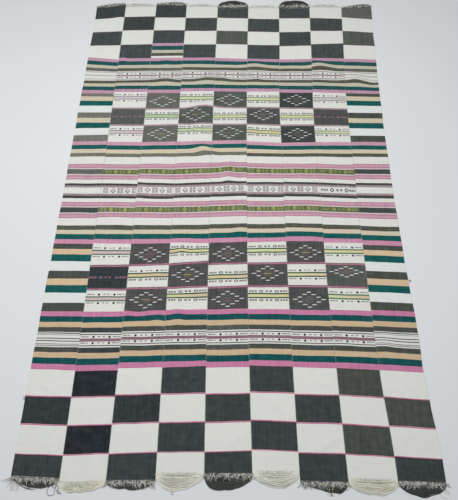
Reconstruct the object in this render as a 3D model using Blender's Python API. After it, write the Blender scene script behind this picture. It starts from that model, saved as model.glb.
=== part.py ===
"""Handwoven strip cloth laid out flat: nine narrow cotton strips sewn edge to edge, with the loose yarn that
is left at both ends of every strip. Metres, +Z up, +Y along the warp towards the far end."""

import math
import random

import bmesh
import bpy
from mathutils import Vector

MM = 0.001

# Driving dimensions
STRIP_COUNT = 9
HALF_WIDTH = 730 * MM            # half the cloth's width at its near corners
REACH = 1222 * MM                # half the length, over the longest loops of yarn at both ends
SEAM_STATION = 1038 * MM         # how far from SEAM_MIDDLE the outer two columns of SEAMS are read
SEAM_MIDDLE = 50 * MM            # where the middle column of SEAMS is read
CLOTH_THICKNESS = 1.6 * MM
SEAM_GAP = 0.3 * MM              # clearance between sewn neighbours, and from cloth to loose yarn
FINE_ROW = 26 * MM               # length of one row of faces where the cloth has humps
COARSE_ROW = 78 * MM             # length of one row where it lies flat
HUMPED = (-312 * MM, 754 * MM)   # the stretch that has humps
CELLS_ACROSS = 6                 # faces across one strip
EDGE_WAVE = 1.2 * MM             # unevenness of the two outer selvedges
EDGE_WAVE_TURNS = (31.0, 12.3)   # radians of its two mixed waves for each metre

# Loose yarn
BACKING_DEPTH = 6 * MM
LOCK_COUNT = 12
LOCK_WIDTH = 3.0 * MM
LOCK_LENGTH = (14 * MM, 26 * MM) # shortest and longest
LOCK_LEAN = 1.5 * MM             # most that a tip stands to one side
LOCK_ZONE = (0.13, 0.87)         # part of a strip's width that carries the locks
LOOP_WIDTH = 3.6 * MM
LOOP_STEPS = 10
LOOP_ROOTS = (0.025, 0.075)      # roots of the outer and the inner loop, as a share of the width
LOOP_DEPTHS = (1.0, 0.62)        # their depths, as a share of the outer one's
TWO_LOOPS_FROM = 34 * MM         # a shallower end has the outer loop alone
LOOP_FULLNESS = 2.3              # 2 is the arc of an ellipse, and more hangs fuller at the roots
LOCK_SECTIONS = (                # share of the length, of the width and of the height
    (0.45, 0.90, 1.00),
    (1.00, 0.55, 0.55),
)
YARN_SEED = 9

# Seam lines from the left selvedge to the right one: x at the far, middle and near stations, in mm
SEAMS = (
    # far   middle  near
    (-720, -724, -730),
    (-567, -563, -563),
    (-405, -405, -406),
    (-244, -245, -241),
    (-79, -86, -79),
    (82, 71, 82),
    (244, 231, 241),
    (404, 388, 401),
    (570, 543, 559),
    (727, 700, 730),
)

# Where a seam line or a selvedge strays from its smooth curve
SEAM_PULLS = (
    # line, y, half length and shift in mm
    (6, 480, 420, -6),
    (7, 420, 480, -6),
    (7, -380, 400, -4),
    (8, 520, 420, -5),
    (8, -1080, 260, 6),
    (9, -830, 200, -9),
    (9, -990, 130, -6),
)

# Woven ends of each strip: y of the left and right corners, in mm
STRIP_ENDS = (
    # far_left, far_right, near_left, near_right
    (1166, 1190, -1166, -1172),
    (1177, 1176, -1186, -1180),
    (1187, 1182, -1177, -1175),
    (1175, 1174, -1154, -1152),
    (1160, 1159, -1152, -1151),
    (1162, 1160, -1145, -1144),
    (1158, 1157, -1172, -1176),
    (1165, 1164, -1165, -1167),
    (1152, 1166, -1170, -1174),
)

# Loose yarn of each strip's far and near end: how far the outer loop hangs past the woven edge in mm,
# and where across the strip it hangs lowest
FAR_LOOPS = (
    (20, 0.50),
    (26, 0.45),
    (26, 0.80),
    (20, 0.45),
    (61, 0.50),
    (24, 0.55),
    (63, 0.50),
    (24, 0.50),
    (26, 0.78),
)
NEAR_LOOPS = (
    (36, 0.66),
    (34, 0.30),
    (30, 0.48),
    (58, 0.36),
    (56, 0.30),
    (52, 0.55),
    (38, 0.80),
    (50, 0.62),
    (48, 0.52),
)

# Soft humps and ridges where the cloth doesn't lie flat: centre, half length, half width and height in mm,
# and the turn of the long side from +X in degrees
HUMPS = (
    # x,    y,   long, wide, turn, height
    (-124, 474, 108, 62, 14, 17),
    (-120, 214, 86, 50, -28, 16),
    (-8, 120, 110, 44, 84, 7),
    (-112, 650, 96, 50, 6, 13),
    (-328, 642, 104, 48, -6, 8),
    (112, 738, 104, 46, -10, 8),
    (438, 736, 100, 52, -12, 11),
    (590, 652, 104, 54, -12, 12),
    (60, 330, 110, 48, 16, 6),
    (300, -225, 130, 52, 4, 5),
    (-185, -255, 90, 46, 12, 5),
)

COLOURS = {
    "woven_cotton": (0.62, 0.60, 0.56),
    "dark_yarn": (0.08, 0.08, 0.085),
    "cream_yarn": (0.74, 0.72, 0.63),
}
YARN_ROUGHNESS = 0.9
SMOOTH_BELOW = 35                # degrees between faces that are shaded as one soft surface


def seam_x(line, y):
    """x of a seam line, or of an outer selvedge: a parabola through its three stations, with its pulls."""
    far, middle, near = (value * MM for value in SEAMS[line])
    t = (y - SEAM_MIDDLE) / SEAM_STATION
    x = middle + t * (far - near) / 2 + t * t * ((far + near) / 2 - middle)
    for pulled, at, half_long, shift in SEAM_PULLS:
        distance = abs(y - at * MM) / (half_long * MM)
        if pulled == line and distance < 1:
            x += shift * MM * math.cos(distance * math.pi / 2) ** 2
    if line in (0, STRIP_COUNT):
        short, long = EDGE_WAVE_TURNS
        x += EDGE_WAVE * math.sin(y * short) * math.sin(y * long + line)
    return max(-HALF_WIDTH, min(HALF_WIDTH, x))


def hump_height(x, y):
    """Height of the cloth's underside above the floor."""
    height = 0.0
    for centre_x, centre_y, half_long, half_wide, turn, top in HUMPS:
        angle = math.radians(turn)
        dx = x - centre_x * MM
        dy = y - centre_y * MM
        along = (dx * math.cos(angle) + dy * math.sin(angle)) / (half_long * MM)
        across = (dy * math.cos(angle) - dx * math.sin(angle)) / (half_wide * MM)
        radius = math.hypot(along, across)
        if radius < 1:
            height = max(height, top * MM * math.cos(radius * math.pi / 2) ** 2)
    return height


def between(start, end, share):
    return start + (end - start) * share


def across_strip(strip, y, share):
    """x at a share of the strip's width, leaving the sewing clearance at both sides."""
    left = seam_x(strip, y) + SEAM_GAP / 2
    right = seam_x(strip + 1, y) - SEAM_GAP / 2
    return between(left, right, share)


def woven_edge(strip, far, share):
    """y of a strip's woven end at a share of its width."""
    first = 0 if far else 2
    left, right = STRIP_ENDS[strip][first:first + 2]
    return between(left, right, share) * MM


def material(name):
    made = bpy.data.materials.get(name)
    if made is None:
        made = bpy.data.materials.new(name)
        made.use_nodes = True
        shader = made.node_tree.nodes["Principled BSDF"]
        shader.inputs["Base Color"].default_value = (*COLOURS[name], 1)
        shader.inputs["Roughness"].default_value = YARN_ROUGHNESS
    return made


def finish_object(bm, name, material_name, origin, cloth):
    """Make the object of a piece, with its own origin at the given floor point, as a child of the cloth."""
    bmesh.ops.recalc_face_normals(bm, faces=bm.faces)
    bmesh.ops.translate(bm, verts=bm.verts, vec=-origin)
    mesh = bpy.data.meshes.new(name)
    bm.to_mesh(mesh)
    bm.free()
    mesh.materials.append(material(material_name))
    mesh.shade_smooth()
    mesh.set_sharp_from_angle(angle=math.radians(SMOOTH_BELOW))
    obj = bpy.data.objects.new(name, mesh)
    obj.location = origin
    obj.parent = cloth
    cloth.users_collection[0].objects.link(obj)


def raise_sheet(bm, thickness):
    """Turn the open grid into a closed sheet by pulling a copy of it straight up."""
    pulled = bmesh.ops.extrude_face_region(bm, geom=bm.faces[:])
    top = [item for item in pulled["geom"] if isinstance(item, bmesh.types.BMVert)]
    bmesh.ops.translate(bm, verts=top, vec=(0, 0, thickness))


def unit_grid(columns, rows):
    """A grid whose points carry their column and row numbers as x and y."""
    bm = bmesh.new()
    bmesh.ops.create_grid(bm, x_segments=columns, y_segments=rows, size=0.5)
    for vert in bm.verts:
        vert.co = (round((vert.co.x + 0.5) * columns), round((vert.co.y + 0.5) * rows), 0)
    return bm


def row_stations():
    """The y of every row of faces. All strips share them, so that sewn edges match."""
    low, high = HUMPED
    stations = [low + row * FINE_ROW for row in range(round((high - low) / FINE_ROW) + 1)]
    below = [low - row * COARSE_ROW for row in range(1, int((low + REACH) / COARSE_ROW) + 1)]
    above = [high + row * COARSE_ROW for row in range(1, int((REACH - high) / COARSE_ROW) + 1)]
    return below[::-1] + stations + above


def build_strip(strip, cloth):
    """One woven strip, between its seams and its two woven ends."""
    near_end = max(woven_edge(strip, False, share) for share in (0, 1))
    far_end = min(woven_edge(strip, True, share) for share in (0, 1))
    clear = FINE_ROW / 2
    stations = [y for y in row_stations() if near_end + clear < y < far_end - clear]
    bm = unit_grid(CELLS_ACROSS, len(stations) + 1)
    for vert in bm.verts:
        share = vert.co.x / CELLS_ACROSS
        row = int(vert.co.y)
        if row == 0:
            y = woven_edge(strip, False, share)
        elif row > len(stations):
            y = woven_edge(strip, True, share)
        else:
            y = stations[row - 1]
        x = across_strip(strip, y, share)
        vert.co = (x, y, hump_height(x, y))
    raise_sheet(bm, CLOTH_THICKNESS)
    origin = Vector((across_strip(strip, 0, 0.5), 0, 0))
    finish_object(bm, f"strip_{strip + 1}", "woven_cotton", origin, cloth)


def loop_hang(share, deepest_at):
    """Depth of a slack loop across its span, as a share of its greatest depth."""
    from_root = share / deepest_at if share < deepest_at else (1 - share) / (1 - deepest_at)
    return (1 - (1 - from_root) ** LOOP_FULLNESS) ** (1 / LOOP_FULLNESS)


def nearest_face(bm, point):
    return min(bm.faces, key=lambda face: (face.calc_center_median() - point).length)


def pull_yarn(bm, face, sections):
    """Pull a root face out along its yarn. Each section is (point, sideways direction, width, height)."""
    sideways = sections[0][1]
    for point, direction, width, height in sections:
        centre = face.calc_center_median()
        face = bmesh.ops.extrude_discrete_faces(bm, faces=[face])["faces"][0]
        for vert in face.verts:
            offset = vert.co - centre
            side = math.copysign(width / 2, offset.dot(sideways))
            level = height if offset.z > 0 else 0.0
            vert.co = Vector((point.x, point.y, level)) + direction * side
        sideways = direction
    return face


def corners(face, outward):
    """The face's points by corner: whether each lies on the outward side, and whether it is an upper one."""
    centre = face.calc_center_median()
    return {((vert.co - centre).dot(outward) > 0, vert.co.z > centre.z): vert for vert in face.verts}


def close_on(bm, tip, tip_outward, root):
    """Weld the tip of a yarn on a root face at the strip's right, so that the yarn is a loop."""
    tip_corners = corners(tip, tip_outward)
    root_corners = corners(root, Vector((1, 0, 0)))
    bmesh.ops.delete(bm, geom=[tip, root], context="FACES_ONLY")
    for corner, vert in tip_corners.items():
        vert.co = root_corners[corner].co
    pairs = [*tip_corners.values(), *root_corners.values()]
    bmesh.ops.remove_doubles(bm, verts=pairs, dist=0.01 * MM)


def fringe_point(strip, far, share, past):
    """Floor point at a share of the strip's width and a distance past the backing's outer edge."""
    outward = 1 if far else -1
    edge = woven_edge(strip, far, share) + outward * (SEAM_GAP + BACKING_DEPTH)
    y = edge + outward * past
    return Vector((across_strip(strip, edge, share), y, 0))


def root_face(bm, strip, far, share):
    point = fringe_point(strip, far, share, 0)
    return nearest_face(bm, point + Vector((0, 0, CLOTH_THICKNESS / 2)))


def pull_loop(bm, strip, far, root, depth, deepest_at):
    """A slack loop of weft from a root at the left to its mirror image at the right."""
    span = 1 - 2 * root
    points = []
    for step in range(1, LOOP_STEPS + 1):
        turn = (1 - math.cos(math.pi * step / (LOOP_STEPS + 1))) / 2
        past = depth * loop_hang(turn, deepest_at)
        points.append(fringe_point(strip, far, root + span * turn, past))
    ahead = points[1:] + [fringe_point(strip, far, 1 - root, 0)]
    behind = [fringe_point(strip, far, root, 0)] + points[:-1]
    turn_axis = Vector((0, 0, -1 if far else 1))
    sections = []
    for point, before, after in zip(points, behind, ahead):
        direction = (after - before).normalized().cross(turn_axis)
        sections.append((point, direction, LOOP_WIDTH, CLOTH_THICKNESS))
    end_face = root_face(bm, strip, far, 1 - root)
    tip = pull_yarn(bm, root_face(bm, strip, far, root), sections)
    tip = bmesh.ops.extrude_discrete_faces(bm, faces=[tip])["faces"][0]
    close_on(bm, tip, sections[-1][1], end_face)


def pull_lock(bm, strip, far, share, length, lean):
    """A short lock of warp ends, tapering to its tip."""
    outward = 1 if far else -1
    sections = []
    for part, width, height in LOCK_SECTIONS:
        point = fringe_point(strip, far, share, length * part)
        point.x += lean * part * part
        direction = Vector((outward, 0, 0))
        sections.append((point, direction, LOCK_WIDTH * width, CLOTH_THICKNESS * height))
    pull_yarn(bm, root_face(bm, strip, far, share), sections)


def build_fringe(strip, far, cloth, rng):
    """The loose yarn at one end of a strip: a narrow backing, slack loops of weft and short locks of warp."""
    depth, deepest_at = (FAR_LOOPS if far else NEAR_LOOPS)[strip]
    depth = depth * MM - BACKING_DEPTH
    loops = list(zip(LOOP_ROOTS, LOOP_DEPTHS))
    if depth < TWO_LOOPS_FROM:
        loops = loops[:1]
    width = seam_x(strip + 1, 0) - seam_x(strip, 0)
    low, high = LOCK_ZONE
    locks = [between(low, high, (index + 0.5) / LOCK_COUNT) for index in range(LOCK_COUNT)]
    roots = [(share, LOCK_WIDTH) for share in locks]
    roots += [(share, LOOP_WIDTH) for root, _ in loops for share in (root, 1 - root)]
    cuts = [share + side * size / width / 2 for share, size in roots for side in (-1, 1)]
    cuts = sorted([0, 1] + cuts)
    bm = unit_grid(len(cuts) - 1, 1)
    for vert in bm.verts:
        share = cuts[int(vert.co.x)]
        past = (vert.co.y - 1) * BACKING_DEPTH
        vert.co = fringe_point(strip, far, share, past)
    raise_sheet(bm, CLOTH_THICKNESS)
    bmesh.ops.recalc_face_normals(bm, faces=bm.faces)
    for root, share_of_depth in loops:
        pull_loop(bm, strip, far, root, depth * share_of_depth, deepest_at)
    inner, inner_share = loops[-1]
    for share in locks:
        room = depth * inner_share * loop_hang((share - inner) / (1 - 2 * inner), deepest_at)
        length = min(rng.uniform(*LOCK_LENGTH), room - LOOP_WIDTH - LOCK_WIDTH)
        lean = rng.uniform(-LOCK_LEAN, LOCK_LEAN)
        pull_lock(bm, strip, far, share, max(length, LOCK_WIDTH), lean)
    name = f"fringe_{'far' if far else 'near'}_{strip + 1}"
    yarn = "cream_yarn" if strip % 2 else "dark_yarn"
    finish_object(bm, name, yarn, fringe_point(strip, far, 0.5, 0), cloth)


def main():
    for obj in list(bpy.data.objects):
        bpy.data.objects.remove(obj, do_unlink=True)
    collection = bpy.data.collections.new("handwoven_strip_cloth")
    bpy.context.scene.collection.children.link(collection)
    cloth = bpy.data.objects.new("cloth", None)
    collection.objects.link(cloth)
    rng = random.Random(YARN_SEED)
    for strip in range(STRIP_COUNT):
        build_strip(strip, cloth)
        build_fringe(strip, True, cloth, rng)
        build_fringe(strip, False, cloth, rng)


main()
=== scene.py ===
"""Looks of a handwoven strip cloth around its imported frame: nine woven cotton strips with their bands, checks
and brocaded figures, the stitches that join them, and the loose yarn at both ends. Metres, +Y far away."""

import math
import random

import bpy
from mathutils import Matrix, Vector, noise


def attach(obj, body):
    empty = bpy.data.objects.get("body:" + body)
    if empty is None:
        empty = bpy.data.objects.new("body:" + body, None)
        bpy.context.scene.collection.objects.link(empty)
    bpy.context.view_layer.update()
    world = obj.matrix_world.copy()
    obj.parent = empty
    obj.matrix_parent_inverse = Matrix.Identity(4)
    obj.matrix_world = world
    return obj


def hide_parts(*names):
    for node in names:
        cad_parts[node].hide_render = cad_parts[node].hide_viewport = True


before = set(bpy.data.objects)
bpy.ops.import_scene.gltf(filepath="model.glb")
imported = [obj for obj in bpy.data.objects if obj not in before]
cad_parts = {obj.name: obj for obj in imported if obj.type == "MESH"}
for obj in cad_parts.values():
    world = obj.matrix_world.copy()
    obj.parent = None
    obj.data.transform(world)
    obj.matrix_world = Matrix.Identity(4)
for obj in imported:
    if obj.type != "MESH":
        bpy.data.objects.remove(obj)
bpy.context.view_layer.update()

MM = 0.001

# The cloth's outline and heights, as in the CAD source
STRIP_COUNT = 9
HALF_WIDTH = 730 * MM
SEAM_STATION = 1038 * MM
SEAM_MIDDLE = 50 * MM
CLOTH_THICKNESS = 1.6 * MM
SEAM_GAP = 0.3 * MM
EDGE_WAVE = 1.2 * MM
EDGE_WAVE_TURNS = (31.0, 12.3)

# Seam lines from the left selvedge to the right one: x at the far, middle and near stations, in mm
SEAMS = (
    (-720, -724, -730),
    (-567, -563, -563),
    (-405, -405, -406),
    (-244, -245, -241),
    (-79, -86, -79),
    (82, 71, 82),
    (244, 231, 241),
    (404, 388, 401),
    (570, 543, 559),
    (727, 700, 730),
)

# Where a seam line or a selvedge strays from its smooth curve
SEAM_PULLS = (
    # line, y, half length and shift in mm
    (6, 480, 420, -6),
    (7, 420, 480, -6),
    (7, -380, 400, -4),
    (8, 520, 420, -5),
    (8, -1080, 260, 6),
    (9, -830, 200, -9),
    (9, -990, 130, -6),
)

# Woven ends of each strip: y of its far left, far right, near left and near right corners, in mm
STRIP_ENDS = (
    (1166, 1190, -1166, -1172),
    (1177, 1176, -1186, -1180),
    (1187, 1182, -1177, -1175),
    (1175, 1174, -1154, -1152),
    (1160, 1159, -1152, -1151),
    (1162, 1160, -1145, -1144),
    (1158, 1157, -1172, -1176),
    (1165, 1164, -1165, -1167),
    (1152, 1166, -1170, -1174),
)

# Soft humps where the cloth doesn't lie flat: centre, half length, half width and height in mm, and the turn
# of the long side from +X in degrees
HUMPS = (
    # x,    y,   long, wide, turn, height
    (-124, 474, 108, 62, 14, 17),
    (-120, 214, 86, 50, -28, 16),
    (-8, 120, 110, 44, 84, 7),
    (-112, 650, 96, 50, 6, 13),
    (-328, 642, 104, 48, -6, 8),
    (112, 738, 104, 46, -10, 8),
    (438, 736, 100, 52, -12, 11),
    (590, 652, 104, 54, -12, 12),
    (60, 330, 110, 48, 16, 6),
    (300, -225, 130, 52, 4, 5),
    (-185, -255, 90, 46, 12, 5),
)

# Low creases that only the looks have, in the same columns
CREASES = (
    # x,    y,   long, wide, turn, height
    (470, -760, 170, 34, 28, 3.4),
    (-300, -860, 150, 32, -32, 2.8),
    (-130, -470, 120, 40, -14, 3.4),
    (-180, 330, 90, 20, 34, 3.0),
    (-140, 300, 80, 16, 40, 2.4),
    (180, -930, 130, 22, -38, 2.2),
    (-480, -1010, 120, 24, 30, 2.2),
    (-640, -870, 110, 22, -28, 2.0),
    (640, -900, 120, 24, -36, 2.2),
    (330, -1060, 120, 22, 24, 2.2),
    (30, -1040, 110, 22, 36, 2.0),
    (-470, 700, 150, 20, 3, 2.4),
    (60, 716, 170, 22, -4, 2.6),
    (380, 560, 120, 22, -7, 2.4),
    (-600, 300, 120, 22, 5, 2.0),
    (440, 110, 150, 20, 3, 2.2),
    (-420, 60, 160, 20, -3, 2.2),
    (120, 20, 150, 20, 4, 2.6),
    (-560, -200, 120, 22, -4, 2.0),
    (520, -190, 130, 22, 5, 2.0),
)

# Where the zones of the design begin on each strip, at its middle, from the far end to the near one: y in mm
LINES = (
    # zone  strip 1 to 9
    ("A2", 1088, 1101, 1092, 1089, 1086, 1079, 1082, 1081, 1080),
    ("A4", 887, 894, 902, 893, 893, 886, 879, 894, 881),
    ("B", 795, 795, 797, 799, 792, 789, 785, 792, 784),
    ("B3", 644, 646, 648, 653, 651, 648, 645, 644, 634),
    ("C", 560, 570, 562, 573, 571, 570, 562, 561, 556),
    ("C2", None, 471, 467, 472, 474, 474, 469, 466, None),
    ("C3", None, 368, 368, 378, 372, 370, 367, 363, None),
    ("D", 269, 265, 265, 269, 274, 264, 262, 264, 264),
    ("D2", 35, 34, 38, 39, 46, 43, 43, 37, 38),
    ("E", -267, -266, -265, -263, -258, -257, -253, -260, -271),
    ("E2", None, -364, -356, -350, -350, -350, -347, -353, None),
    ("E3", None, -467, -462, -456, -456, -450, -451, -453, None),
    ("F", -567, -567, -562, -557, -554, -554, -556, -557, -558),
    ("G", -798, -801, -789, -784, -785, -779, -785, -789, -796),
    ("G4", -1094, -1092, -1086, -1082, -1078, -1074, -1081, -1088, -1093),
)

# How much higher a line lies at a strip's right side than at its left, in mm
RISES = {
    "A2": (14, 3, -1, 0, -7, -6, 0, -8, -18),
    "A4": (4, 4, 1, 0, -5, -5, 5, 6, -9),
    "B": (-18, 2, 2, -1, -8, -5, 2, -6, -5),
    "B3": (-4, 2, 0, -3, -4, -6, -1, -8, -10),
    "C": (-3, 1, 2, 2, -4, -1, -6, -7, -5),
    "D": (3, -2, 4, 2, 3, -8, 4, 0, -2),
    "D2": (0, -2, -6, 7, 4, -1, -3, -9, -2),
    "E": (-2, -2, 2, 0, 6, 3, -1, -1, -6),
    "E2": (0, 3, 9, 13, 6, 2, 3, -3, -6),
    "E3": (0, 0, 4, 6, 8, 2, -2, -4, -6),
    "F": (1, 2, 2, 3, 6, -1, -3, -5, -7),
    "G": (-4, 4, 5, 7, 3, -2, -2, -7, -10),
    "G4": (-4, 6, 7, 3, 6, -6, -2, -10, -9),
}

# Small places where the picks have been pushed together, so that they lie further up or down
PULLS = (
    # strip, share of its width, y, half width as a share, half length, shift in mm
    (1, 0.85, 1092, 0.30, 50, 5),
    (2, 0.12, 790, 0.24, 50, 6),
    (3, 0.50, 770, 0.26, 40, 5),
    (3, 0.50, 652, 0.30, 36, 4),
    (4, 0.30, 395, 0.35, 50, -5),
    (4, 0.80, 222, 0.26, 36, 5),
    (5, 0.28, 652, 0.30, 40, 6),
    (6, 0.30, 748, 0.36, 45, 4),
    (6, 0.32, 652, 0.26, 30, 5),
    (8, 0.22, 742, 0.30, 45, 6),
    (9, 0.30, 640, 0.30, 34, 4),
    (9, 0.80, 628, 0.26, 40, -4),
    (3, 0.35, -566, 0.30, 40, -5),
    (3, 0.80, -600, 0.24, 40, 5),
    (4, 0.28, -590, 0.26, 60, 5),
    (4, 0.30, -300, 0.26, 34, 6),
    (5, 0.80, -205, 0.26, 40, 4),
    (9, 0.20, -700, 0.30, 60, 4),
    (2, 0.50, -140, 0.90, 70, 6),
    (3, 0.50, -35, 0.90, 40, -6),
    (4, 0.50, 140, 0.90, 40, 4),
    (6, 0.50, -60, 0.90, 60, -4),
    (8, 0.50, 125, 0.90, 40, -3),
    (5, 0.50, 60, 0.30, 60, 5),
)

# Dyes and undyed cotton, as sRGB
DYES = {
    "ink": (57, 63, 63), "ink_far": (64, 71, 71), "ink_cold": (48, 55, 58), "ink_blue": (34, 40, 46),
    "ink_brown": (71, 75, 69), "ink_grey": (82, 86, 82), "ink_faded": (96, 97, 91),
    "ink_streaked": (112, 112, 104), "ink_soft": (75, 75, 75),
    "white": (218, 218, 212), "white_cool": (218, 223, 220), "white_worn": (220, 221, 215),
    "pale": (206, 204, 198), "cream": (226, 224, 206), "thread": (226, 226, 218),
    "pink": (194, 123, 157), "pink_pale": (193, 150, 167), "pink_far": (184, 143, 166),
    "pink_deep": (197, 138, 166), "rose_line": (176, 96, 130), "rose_pale": (212, 156, 176),
    "faint_line": (178, 150, 160),
    "green": (10, 84, 82), "green_near": (8, 75, 79), "green_far": (22, 79, 79),
    "tan": (208, 183, 151), "tan_near": (199, 174, 142), "tan_pale": (203, 191, 168),
    "tan_far": (190, 185, 166),
    "olive": (82, 83, 72), "olive_pale": (110, 109, 98),
    "mauve": (172, 122, 142), "mauve_band": (140, 104, 118), "mauve_dark": (108, 72, 88),
    "mauve_grey": (158, 138, 142), "shadow_mauve": (104, 92, 98),
    "grey_line": (140, 140, 138), "black_line": (62, 64, 62), "green_line": (26, 78, 48),
    "leaf_line": (62, 112, 80), "sage_line": (104, 132, 104),
    "lime": (202, 210, 164), "sage": (176, 196, 158), "yellow": (208, 204, 158), "peach": (210, 184, 158),
    "mustard": (207, 192, 148), "rose": (205, 175, 181), "lilac": (198, 189, 193), "moss": (92, 102, 68),
    "yarn_white": (228, 229, 224), "yarn_lime": (164, 172, 112), "yarn_yellow": (214, 216, 132),
    "yarn_grey": (140, 134, 140), "yarn_black": (44, 44, 44), "yarn_mauve": (156, 116, 138),
    "yarn_pink": (200, 160, 196), "yarn_rose": (172, 124, 150), "yarn_brown": (150, 138, 124),
    "yarn_olive": (134, 131, 106), "yarn_ochre": (214, 206, 132), "yarn_lilac": (160, 152, 160),
}


def linear(name):
    """A dye as linear light."""
    return tuple((value / 255 / 12.92) if value < 10.3 else ((value / 255 + 0.055) / 1.055) ** 2.4
                 for value in DYES[name])


LINEAR = {name: linear(name) for name in DYES}


def shaded(name, low, high, rng):
    """A dye as linear light, in a shade between two shares of it."""
    shade = rng.uniform(low, high)
    return tuple(min(1.0, value * shade) for value in LINEAR[name])


def between(start, end, share):
    return start + (end - start) * share


def blend(first, second, share):
    return tuple(between(a, b, share) for a, b in zip(first, second))


def seam_x(line, y):
    far, middle, near = (value * MM for value in SEAMS[line])
    t = (y - SEAM_MIDDLE) / SEAM_STATION
    x = middle + t * (far - near) / 2 + t * t * ((far + near) / 2 - middle)
    for pulled, at, half_long, shift in SEAM_PULLS:
        distance = abs(y - at * MM) / (half_long * MM)
        if pulled == line and distance < 1:
            x += shift * MM * math.cos(distance * math.pi / 2) ** 2
    if line in (0, STRIP_COUNT):
        short, long = EDGE_WAVE_TURNS
        x += EDGE_WAVE * math.sin(y * short) * math.sin(y * long + line)
    return max(-HALF_WIDTH, min(HALF_WIDTH, x))


def across_strip(strip, y, share):
    left = seam_x(strip, y) + SEAM_GAP / 2
    right = seam_x(strip + 1, y) - SEAM_GAP / 2
    return between(left, right, share)


def mound(table):
    """The tables' rows with their turns worked out, ready for mound_height."""
    made = []
    for x, y, long, wide, turn, top in table:
        angle = math.radians(turn)
        reach = max(long, wide) * MM
        made.append((x * MM, y * MM, long * MM, wide * MM, math.cos(angle), math.sin(angle), top * MM, reach))
    return made


def mound_height(mounds, x, y):
    height = 0.0
    for centre_x, centre_y, long, wide, cos, sin, top, reach in mounds:
        dx = x - centre_x
        dy = y - centre_y
        if abs(dy) > reach or abs(dx) > reach:
            continue
        radius = math.hypot((dx * cos + dy * sin) / long, (dy * cos - dx * sin) / wide)
        if radius < 1:
            height = max(height, top * math.cos(radius * math.pi / 2) ** 2)
    return height


HUMP_MOUNDS = mound(HUMPS)
CREASE_MOUNDS = mound(CREASES)
SOFT_LIFT = 0.9 * MM             # greatest unevenness of cloth that lies on the floor
SOFT_WAVES = (7.5, 15.0, 3.1)    # its waves for each metre across and along, and their layer of the noise
FINE_WAVES = (31, 44, 8.7)       # and those of the finer waves on it
FINE_SHARE = 0.35
SOFT_SHIFT = 0.1                 # more than 0 lets more of the cloth rise a little
ROUND_OFF = 3.2 * MM             # how far in from a selvedge the cloth's edge is rounded
ROUND_DROP = 0.75 * MM


def waves(x, y, scale):
    return noise.noise(Vector((x * scale[0], y * scale[1], scale[2])))


def lift(x, y):
    """Height of the cloth's underside above the floor."""
    rest = SOFT_LIFT * max(0.0, waves(x, y, SOFT_WAVES) + FINE_SHARE * waves(x, y, FINE_WAVES) + SOFT_SHIFT)
    return rest + mound_height(HUMP_MOUNDS, x, y) + mound_height(CREASE_MOUNDS, x, y)


def top_height(x, y, from_side):
    """Height of the cloth's upper face, from_side metres in from the nearer selvedge."""
    edge = max(0.0, 1 - from_side / ROUND_OFF)
    return lift(x, y) + CLOTH_THICKNESS - ROUND_DROP * edge * edge


PLAIN_STRIPS = (0, STRIP_COUNT - 1)     # the two outer strips carry bands alone, without brocade
BROCADE_ROWS = ("C2", "C3", "E2", "E3")


def anchors(strip):
    """(zone, y) of the lines between the strip's zones, from its far end to its near end."""
    far_left, far_right, near_left, near_right = (value * MM for value in STRIP_ENDS[strip])
    found = [("A1", (far_left + far_right) / 2)]
    for zone, *ys in LINES:
        if strip not in PLAIN_STRIPS or zone not in BROCADE_ROWS:
            found.append((zone, ys[strip] * MM))
    return [*found, ("end", (near_left + near_right) / 2)]


ANCHORS = [anchors(strip) for strip in range(STRIP_COUNT)]


def rise_knots(strip):
    """(y, rise from left to right) of the lines whose slant is known."""
    far_left, far_right, near_left, near_right = STRIP_ENDS[strip]
    rises = {"A1": far_right - far_left, "end": near_right - near_left}
    rises.update((zone, values[strip]) for zone, values in RISES.items())
    return [(y, rises[zone] * MM) for zone, y in ANCHORS[strip] if zone in rises]


RISE_KNOTS = [rise_knots(strip) for strip in range(STRIP_COUNT)]
PULLS_OF = [[] for _ in range(STRIP_COUNT)]
for number, at_share, at_y, half_wide, half_long, shift in PULLS:
    PULLS_OF[number - 1].append((at_share, at_y * MM, half_wide, half_long * MM, shift * MM))


def rise_at(strip, y):
    knots = RISE_KNOTS[strip]
    for (above, rise_above), (below, rise_below) in zip(knots, knots[1:]):
        if y >= below:
            return between(rise_below, rise_above, min(1.0, (y - below) / (above - below)))
    return knots[-1][1]


def pull_at(strip, y, share):
    shift = 0.0
    for at_share, at_y, half_wide, half_long, most in PULLS_OF[strip]:
        radius = math.hypot((share - at_share) / half_wide, (y - at_y) / half_long)
        if radius < 1:
            shift += most * math.cos(radius * math.pi / 2) ** 2
    return shift


WANDER = 1.5 * MM                # how far a pick strays from straight
WANDER_WAVES = (2.3, 5.7, 13, 0)  # its waves across a strip, from strip to strip and along, and their layer
KINK_WAVES = (9.0, 3.1, 30, 5)   # and those of the finer waves on it
KINK_SHARE = 0.3
CALM_ENDS = 40 * MM              # how far in from a woven end the picks stray less


def pick_wave(strip, y, share, scale):
    across, apart, along, layer = scale
    return noise.noise(Vector((share * across + strip * apart, y * along, layer)))


def pick_y(strip, y, share):
    """y of a weft pick at a share of the strip's width, for a pick that is at y at the strip's middle."""
    ends = ANCHORS[strip]
    calm = max(0.0, min(1.0, min(ends[0][1] - y, y - ends[-1][1]) / CALM_ENDS))
    stray = pick_wave(strip, y, share, WANDER_WAVES) + KINK_SHARE * pick_wave(strip, y, share, KINK_WAVES)
    return y + rise_at(strip, y) * (share - 0.5) + pull_at(strip, y, share) + calm * WANDER * stray


def strip_width(strip, y=0):
    return across_strip(strip, y, 1) - across_strip(strip, y, 0)


def pitch(strip, y):
    """The strip's width from seam to seam."""
    return seam_x(strip + 1, y) - seam_x(strip, y)


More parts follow.
